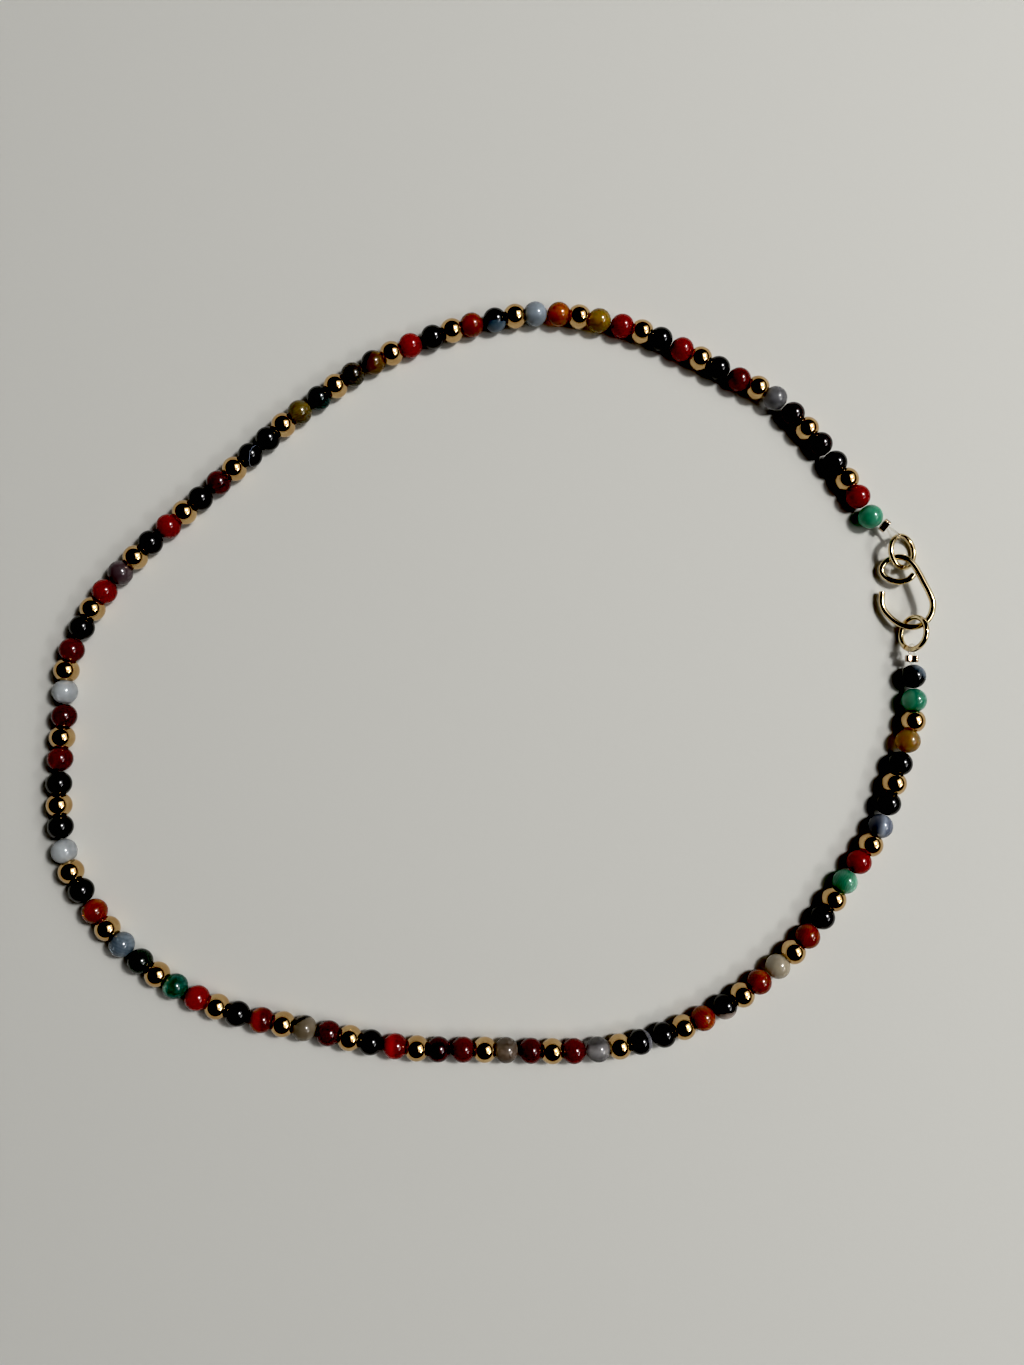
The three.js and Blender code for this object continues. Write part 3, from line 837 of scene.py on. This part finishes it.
def finished_piece(name, points, faces, material, node=None):
    """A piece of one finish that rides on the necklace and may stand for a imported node."""
    piece = new_piece(name, points, faces, [material])
    keep_vectors(piece, "grain", points)
    sharpen(piece, CUT_CREASE_DEGREES)
    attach(piece, "root")
    if node:
        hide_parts(node)


# %% [markdown]
# ## The hook
#
# One wire makes the whole clasp: an open tip, a big bend that the lower ring slides round, a long leg, and a
# small eye closed against the leg. The hook leans, with its leg side higher than its tip side, because it
# rests on the rings it joins.
#
# Arcs and straight lines joined end to end would look stamped by a machine. This one was bent by hand round
# pliers, so its middle follows typed points, closer together where the bend is tight.

# %% Hook clasp
HOOK_WIRE_RADIUS, HOOK_SAMPLES = 0.5, 801
HOOK = np.array([
    (64.95, 14.1), (64.8, 12.4), (65.1, 11.1), (65.75, 10.1), (66.6, 9.2), (67.75, 8.35), (69.1, 7.95),
    (70.4, 8.1), (71.6, 8.95), (72.35, 10.3), (72.55, 12.0), (72.05, 13.7), (71.35, 15.3), (70.65, 16.9),
    (69.95, 18.25), (69.0, 19.4), (67.6, 19.9), (66.1, 19.5), (65.1, 18.6), (64.9, 17.6), (65.3, 16.75),
    (66.2, 16.05), (67.3, 15.7), (68.4, 15.75), (69.2, 16.15), (69.85, 16.85),
])  # fmt: skip
HOOK_LOW_X, HOOK_LOW_Z, HOOK_RISE = 64.8, 1.0, 0.29

hook_bends = np.column_stack([HOOK, HOOK_LOW_Z + HOOK_RISE * (HOOK[:, 0] - HOOK_LOW_X)])
hook_path = smooth_through(hook_bends, np.linspace(0, 1, HOOK_SAMPLES), closed=False, spacing=0.5)
points, faces = swept(hook_path, HOOK_WIRE_RADIUS, steps=180, filed=0.1)
finished_piece("hook_clasp_wire", points, faces, wire_gold, "hook_clasp")
print("hook wire length mm:", round(float(run_along(hook_path)[-1]), 1))

# %% [markdown]
# ## The jump rings
#
# A jump ring is one turn of wire sawn through, so its two flat ends face each other across 0.3 mm. The hook
# and the line that pass through each ring hold it up at a lean. The upper ring lies low, with one side tipped
# up, and the lower one stands nearly on edge. Blender's own torus is quicker, but it has no saw cut, so each
# ring is a wire along an open circle that is tipped and then turned.

# %% Jump rings
RING_MIDDLE_RADIUS, RING_WIRE_RADIUS, RING_CUT_DEGREES, RING_SAMPLES = 2.7, 0.45, 6, 361
UPPER_RING = {"x": 68.3, "y": 20.8, "lean": -26.5, "turn": 3, "cut": 255}
LOWER_RING = {"x": 69.3, "y": 6.85, "lean": 66, "turn": -6, "cut": 243}


def on_ring(ring, degrees):
    """Places on a leaning ring's wire, at degrees round it."""
    angle, lean = np.radians(np.atleast_1d(degrees)), math.radians(ring["lean"])
    sideways = RING_MIDDLE_RADIUS * np.cos(angle)
    forward = RING_MIDDLE_RADIUS * np.sin(angle)
    tilted = np.stack([sideways * math.cos(lean), forward, sideways * math.sin(lean)], -1)
    height = RING_WIRE_RADIUS + RING_MIDDLE_RADIUS * abs(math.sin(lean))
    return turned_about_z(tilted, ring["turn"]) + (ring["x"], ring["y"], height)


for name, ring in (("upper_jump_ring", UPPER_RING), ("lower_jump_ring", LOWER_RING)):
    first, last = ring["cut"] + RING_CUT_DEGREES / 2, ring["cut"] + 360 - RING_CUT_DEGREES / 2
    points, faces = swept(on_ring(ring, np.linspace(first, last, RING_SAMPLES)), RING_WIRE_RADIUS,
                          steps=100, filed=0.04)
    finished_piece(name + "_wire", points, faces, wire_gold, name)
    print(name, "outer width mm:", round(2 * (RING_MIDDLE_RADIUS + RING_WIRE_RADIUS), 2))

# %% [markdown]
# ## The crimps
#
# A crimp is a 1 mm length of thin metal tube. Pliers press it flat over two passes of the line, which leaves
# an oval with a shallow dish along its middle. The upper one also keeps three clear grooves from the jaws'
# teeth, and both have rolled a little about the line, so one shows the dark ceiling and the other the lamp.
#
# It's made as an oval tube with a real slot: a loop of outer ovals and inner ovals, joined at both mouths, so
# that its wall has a thickness wherever it's seen.

# %% A pressed oval
CRIMP_WIDTH, CRIMP_HEIGHT, CRIMP_LENGTH = 2.1, 1.0, 1.05
CRIMP_SLOT_WIDTH, CRIMP_SLOT_HEIGHT = 1.15, 0.6
OVAL_FLAT_STEPS, OVAL_END_STEPS = 9, 13
DISH_REACH = 0.3


def pressed_oval(width, height, dish, groove):
    """A flattened oval (sideways, up), thinner along its middle and thinner all over in a groove."""
    flat = np.linspace(-1, 1, OVAL_FLAT_STEPS)[1:-1] * (width - height) / 2
    right = arc(height / 2, -90, 90, OVAL_END_STEPS, ((width - height) / 2, 0.0))
    top = [(x, height / 2) for x in flat[::-1]]
    outline = np.array(right + top)
    outline = np.vstack([outline, -outline])
    outline[:, 1] *= 1 - dish * np.exp(-((outline[:, 0] / (DISH_REACH * width)) ** 2)) - groove
    return outline


print("a crimp's wall is mm thick over the line:", (CRIMP_HEIGHT - CRIMP_SLOT_HEIGHT) / 2)

# %% Crimp tubes
CRIMP_EDGE, CRIMP_GROOVES, CRIMP_STEPS, SLOT_STEPS = 0.12, 3, 24, 6
UPPER_CRIMP = {"x": 65.25, "y": 25.2, "z": 2.0, "heading": -36, "roll": 20, "grooved": 0.13, "dish": 0.1}
LOWER_CRIMP = {"x": 69.2, "y": 2.62, "z": 2.3, "heading": 86, "roll": -8, "grooved": 0.02, "dish": 0.3}


def crimp_skin(crimp):
    """A pressed crimp's points, outer ovals along it and then inner ovals back, and how many ovals."""
    edge, inset = CRIMP_EDGE * (1 - np.cos(QUARTER_TURN)), CRIMP_EDGE * (1 - np.sin(QUARTER_TURN))
    flat = np.linspace(CRIMP_EDGE, CRIMP_LENGTH - CRIMP_EDGE, CRIMP_STEPS + 2)[1:-1]
    along = np.concatenate([edge, flat, CRIMP_LENGTH - edge[::-1]])
    ovals = []
    for at, trim in zip(along, np.concatenate([inset, 0 * flat, inset[::-1]])):
        groove = crimp["grooved"] * (1 - math.cos(2 * math.pi * CRIMP_GROOVES * at / CRIMP_LENGTH)) / 2
        width, height = CRIMP_WIDTH - 2 * trim, CRIMP_HEIGHT - 2 * trim
        ovals.append((at, pressed_oval(width, height, crimp["dish"], groove)))
    for at in np.linspace(CRIMP_LENGTH, 0, SLOT_STEPS):
        ovals.append((at, pressed_oval(CRIMP_SLOT_WIDTH, CRIMP_SLOT_HEIGHT, crimp["dish"], 0)))
    skin = []
    for at, oval in ovals:
        ahead = np.full(len(oval), at - CRIMP_LENGTH / 2)
        skin.append(np.column_stack([ahead, oval @ flat_turn(crimp["roll"])]))
    middle = (crimp["x"], crimp["y"], crimp["z"])
    return turned_about_z(np.vstack(skin), crimp["heading"]) + middle, len(ovals)


for name, crimp in (("upper_crimp", UPPER_CRIMP), ("lower_crimp", LOWER_CRIMP)):
    points, ovals = crimp_skin(crimp)
    faces = grid_faces(ovals, len(points) // ovals)
    finished_piece(name + "_tube", points, faces, crimp_gold, name)
    print(name, "faces:", len(faces))

# %% [markdown]
# ## The line
#
# At each end the line goes through the crimp, round the ring and back through the crimp beside itself. Its
# bends are worked out from the crimp's and the ring's places: straight through the slot, then half a turn
# at the line's own distance from the ring's wire. Between the ends it runs level through every bead.

# %% How the line turns round a ring
THREAD_RADIUS, THREAD_END, THREAD_CLEARANCE, THREAD_GAP = 0.17, 0.05, 0.15, 0.1
THREAD_PAIR_OFFSET = THREAD_RADIUS + THREAD_GAP / 2
LOOP_LEAD = 0.1
LOOP_RADIUS = RING_WIRE_RADIUS + THREAD_RADIUS + THREAD_CLEARANCE
UPPER_RING_HOLD, LOWER_RING_HOLD = 117, 270


def loop_bends(crimp, ring, hold):
    """The points that the line passes through the crimp, round the ring and back."""
    forward = turned_about_z([1.0, 0.0, 0.0], crimp["heading"])
    roll = math.radians(crimp["roll"])
    beside = turned_about_z([0.0, math.cos(roll), math.sin(roll)], crimp["heading"])
    middle = np.array([crimp["x"], crimp["y"], crimp["z"]])
    seat = on_ring(ring, hold)[0]
    wire_way = unit(on_ring(ring, hold + 1)[0] - on_ring(ring, hold - 1)[0])
    pull = seat - middle
    pull = unit(pull - wire_way * (pull @ wire_way))
    around = unit(np.cross(wire_way, pull))
    around = around if around @ beside > 0 else -around
    leave = CRIMP_LENGTH / 2 + THREAD_END

    def side(sign):
        lane = middle + sign * THREAD_PAIR_OFFSET * beside
        through = [lane + along * forward for along in (-leave, 0, leave)]
        return through + [seat - LOOP_LEAD * pull + sign * LOOP_RADIUS * around]

    half_turn = np.radians([45, 90, 135])
    bend = [seat + LOOP_RADIUS * (math.cos(a) * around + math.sin(a) * pull) for a in half_turn]
    return np.array(side(1) + bend + side(-1)[::-1])


print("each loop turns at mm from the middle of the ring's wire:", LOOP_RADIUS)

# %% The clear line
LOOP_SAMPLES, LINE_SAMPLES = 401, 2181
ends = {}
for name, crimp, ring, hold in (
    ("upper_thread_loop", UPPER_CRIMP, UPPER_RING, UPPER_RING_HOLD),
    ("lower_thread_loop", LOWER_CRIMP, LOWER_RING, LOWER_RING_HOLD),
):
    bends = loop_bends(crimp, ring, hold)
    loop_path = smooth_through(bends, np.linspace(0, 1, LOOP_SAMPLES), closed=False, spacing=0.5)
    points, faces = swept(loop_path, THREAD_RADIUS, steps=90, filed=0.03, sides=16)
    finished_piece(name + "_line", points, faces, clear_line, name)
    ends[name] = loop_path[0]

bead_middles = np.column_stack([bead_xy, np.full(BEAD_COUNT, BEAD_RADIUS)])
line_path = np.vstack([ends["upper_thread_loop"], bead_middles, ends["lower_thread_loop"]])
line_path = smooth_through(line_path, np.linspace(0, 1, LINE_SAMPLES), closed=False)
points, faces = swept(line_path, THREAD_RADIUS, steps=660, filed=0.03, sides=12)
finished_piece("bead_thread_line", points, faces, clear_line)
print("line through the beads mm:", round(float(run_along(line_path)[-1]), 1))

# %% [markdown]
# ## The table
#
# The necklace lies on a plain pale table of painted board, matt enough that it shows no reflection. It's one
# flat face, and only its finish has a grain, drawn 1.3 mm wide because the paint's own is too fine to show.
# It's marked as the stage, so it isn't part of the object.

# %% Table
TABLE_HALF_MM = 600
TABLE_GRAIN_MM = 1.3
table_finish, tree, surface = new_material("matt_painted_board")
place = add_node(tree, "ShaderNodeTexCoord").outputs["Object"]
marks = fine_marks(tree, place, TABLE_GRAIN_MM * MM, roughness=(0.85, 0.95), strength=0.15, depth_mm=0.1)
shader = add_node(tree, "ShaderNodeBsdfPrincipled", marks, {"Base Color": linear("#c9c8c3")})
tree.links.new(shader.outputs["BSDF"], surface)
t = TABLE_HALF_MM
table = new_piece("table", [(-t, -t, 0), (t, -t, 0), (t, t, 0), (-t, t, 0)], [(0, 1, 2, 3)],
                  [table_finish], smooth=False)
table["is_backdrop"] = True
print("table width mm:", 2 * t)

# %% [markdown]
# ## The lamps
#
# A ball shows the shape of every lamp round it, so the lamps are chosen for their images as much as for
# their light. A small bright one to the right gives each stone its sharp highlight and the short shadows. A
# dimmer shade round it softens the shadows' edges. A long low one makes the second, smaller glint. Last, a
# broad dim window fills the shadows and gives each gold bead its pale crescent.

# %% Lamps
def lamp(name, azimuth, elevation, distance, width, height, watts, colour="#ffffff"):
    """A rectangular lamp aimed at the middle of the table, from degrees round and up and metres away."""
    light = bpy.data.lights.new(name, "AREA")
    light.shape, light.size, light.size_y, light.energy = "RECTANGLE", width, height, watts
    light.color = linear(colour)[:3]
    made = bpy.data.objects.new(name, light)
    a, e = math.radians(azimuth), math.radians(elevation)
    made.location = distance * Vector((math.cos(e) * math.cos(a), math.cos(e) * math.sin(a), math.sin(e)))
    made.rotation_euler = (-made.location).to_track_quat("-Z", "Y").to_euler()
    bpy.context.scene.collection.objects.link(made)
    return made


key = lamp("key_lamp", azimuth=22, elevation=56, distance=1.2, width=0.12, height=0.11, watts=5)
shade = lamp("lamp_shade", azimuth=22, elevation=56, distance=1.22, width=0.3, height=0.26, watts=4)
low = lamp("low_lamp", azimuth=-22, elevation=42, distance=1.2, width=0.5, height=0.12, watts=2)
window = lamp("broad_window", azimuth=12, elevation=51, distance=1.3, width=1.4, height=1.1, watts=5)
print("lamps:", key.name, shade.name, low.name, window.name)

# %% [markdown]
# ## The room and the tone of the print
#
# A mirror-bright bead shows the whole room. Here the room is pale from the table up to six degrees above
# the horizon and dark from fourteen, which gives the gold its tan rim and its black middle. The picture is
# toned like a print with firm contrast, and a little of the deepest shadow is let go to black.

# %% Room and print tone
PALE_BELOW_DEGREES, DARK_ABOVE_DEGREES = 5.7, 13.9
BLACK_LEVEL = 0.035
world = bpy.data.worlds.new("room")
bpy.context.scene.world = world
world.use_nodes = True
room = world.node_tree
room.nodes.clear()
facing = add_node(room, "ShaderNodeTexCoord")
upward = add_node(room, "ShaderNodeSeparateXYZ", {"Vector": facing.outputs["Generated"]})
walls = add_node(room, "ShaderNodeValToRGB", {"Fac": upward.outputs["Z"]})
heights, tones = (PALE_BELOW_DEGREES, DARK_ABOVE_DEGREES), ("#bdb9b4", "#0e0c0b")
for stop, degrees, tone in zip(walls.color_ramp.elements, heights, tones):
    stop.position, stop.color = math.sin(math.radians(degrees)), linear(tone)
air = add_node(room, "ShaderNodeBackground", {"Color": walls.outputs["Color"]}, {"Strength": 1.0})
add_node(room, "ShaderNodeOutputWorld", {"Surface": air.outputs["Background"]})
print_tone = bpy.context.scene.view_settings
print_tone.view_transform, print_tone.look = "Standard", "Medium High Contrast"
print_tone.use_curve_mapping = True
print_tone.curve_mapping.black_level = (BLACK_LEVEL,) * 3
print_tone.curve_mapping.update()
print("print tone:", print_tone.view_transform, print_tone.look)

# %% [markdown]
# ## The camera
#
# The camera looks almost straight down from 167 mm above the table, which is how a necklace is laid out to be
# seen whole. It's tipped by four degrees, so it stands a little nearer the necklace's front. So close a
# camera shows a bead at the edge a little from its inner side.

# %% Camera
EYE_MM = (-2.40, -12.06, 166.7)
GAZE, PICTURE_UP = Vector((0.0290, 0.0643, -0.9975)), Vector((-0.0019, 0.9979, 0.0643))
FOCAL_MM, SENSOR_MM = 26.37, 36.0
right = GAZE.cross(PICTURE_UP).normalized()
above = right.cross(GAZE.normalized())
lens = bpy.data.cameras.new("viewer")
lens.lens, lens.sensor_width, lens.clip_start = FOCAL_MM, SENSOR_MM, 0.005
camera = bpy.data.objects.new("viewer", lens)
camera.location = Vector(EYE_MM) * MM
camera.rotation_euler = Matrix((right, above, -GAZE.normalized())).transposed().to_euler()
bpy.context.scene.collection.objects.link(camera)
bpy.context.scene.camera = camera
tip = math.degrees(math.acos(-GAZE.normalized().z))
print("camera height mm:", EYE_MM[2], "tipped from straight down by degrees:", round(tip, 1))

# %% [markdown]
# ## Measure
#
# Both the imported model's box and the finished model's box are printed side by side. The finished model
# has to keep to the imported model's box.

# %% Sizes
new_box = [list(corner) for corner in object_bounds()]
for name, box in (("packed", cad_box), ("finished", new_box)):
    print(name, "size mm:", [round((high - low) / MM, 2) for low, high in zip(*box)])
